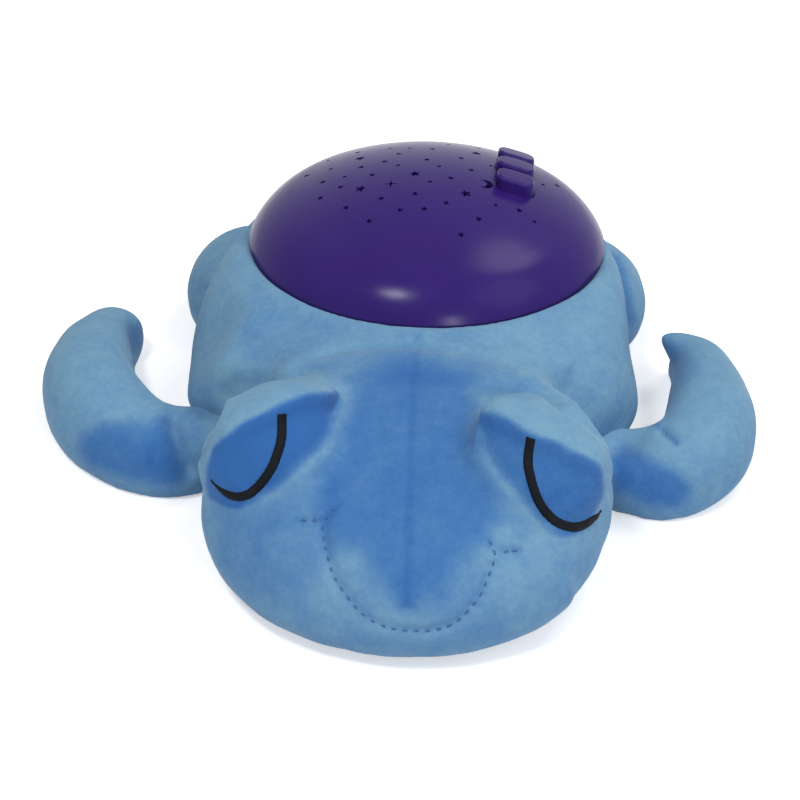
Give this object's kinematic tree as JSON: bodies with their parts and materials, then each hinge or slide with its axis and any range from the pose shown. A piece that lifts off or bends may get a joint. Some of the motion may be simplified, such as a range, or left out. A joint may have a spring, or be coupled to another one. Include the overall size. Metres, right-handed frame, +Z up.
{
  "type": "night light projector",
  "caption": "Stuffed turtle night light lying on its belly, with a pierced plastic dome as its shell that throws stars, press buttons on the dome and a battery door underneath.",
  "frame": {"origin": "on the dome's axis, in the plane that the turtle lies on, at the flat underside of the base case", "axes": "+Z up along the dome's axis, the turtle's head towards -Y, +X to the right of someone who faces the turtle's face"},
  "size_m": [0.2761, 0.2683, 0.092],
  "materials": {
    "plush": "short velvety pile",
    "eye_thread": "satin stitch",
    "dome_plastic": "semi-gloss moulded",
    "silicone": "matte",
    "circuit_board": "solder mask",
    "screw_steel": "zinc plated",
    "collar_plastic": "moulded",
    "case_plastic": "moulded",
    "lamp_plastic": "moulded",
    "led_resin": "clear resin",
    "cell_can": "plain wrapped can",
    "contact_steel": "nickel plated",
    "insert_brass": "knurled",
    "red_lead": "insulated",
    "black_lead": "insulated",
    "grey_lead": "insulated"
  },
  "bodies": {
    "projector": {"plush_body": "plush", "plush_head": "plush", "front_flipper_left": "plush", "front_flipper_right": "plush", "rear_flipper_left": "plush", "rear_flipper_right": "plush", "eye_mound_left": "plush", "eye_mound_right": "plush", "eyelid_stitch_left": "eye_thread", "eyelid_stitch_right": "eye_thread", "dome_shell": "dome_plastic", "key_dome_front": "silicone", "key_dome_middle": "silicone", "key_dome_rear": "silicone", "control_board": "circuit_board", "control_board_screws": "screw_steel", "hem_collar": "collar_plastic", "base_case": "case_plastic", "case_screws": "screw_steel", "lamp_post": "lamp_plastic", "lamp_post_screws": "screw_steel", "lamp_board": "circuit_board", "lamp_board_screws": "screw_steel", "leds": "led_resin", "battery_front": "cell_can", "battery_middle": "cell_can", "battery_rear": "cell_can", "contact_plates": "contact_steel", "contact_leaves": "contact_steel", "door_inserts": "insert_brass", "battery_lead_red": "red_lead", "battery_lead_black": "black_lead", "control_lead": "grey_lead"},
    "button_front": {"button_front": "dome_plastic"},
    "button_middle": {"button_middle": "dome_plastic"},
    "button_rear": {"button_rear": "dome_plastic"},
    "battery_door": {"battery_door": "case_plastic", "door_screws": "screw_steel"}
  },
  "joints": [
    {"name": "button_front_press", "type": "slide", "parent": "projector", "child": "button_front", "axis": [0, 0, -1], "range_m": [0, 0.0015], "stiffness_N_per_m": 900, "deforming": ["key_dome_front"]},
    {"name": "button_middle_press", "type": "slide", "parent": "projector", "child": "button_middle", "axis": [0, 0, -1], "range_m": [0, 0.0015], "stiffness_N_per_m": 900, "deforming": ["key_dome_middle"]},
    {"name": "button_rear_press", "type": "slide", "parent": "projector", "child": "button_rear", "axis": [0, 0, -1], "range_m": [0, 0.0015], "stiffness_N_per_m": 900, "deforming": ["key_dome_rear"]},
    {"name": "battery_door_lift", "type": "slide", "parent": "projector", "child": "battery_door", "axis": [0, 0, -1], "range_m": [0, 0.03]}
  ]
}
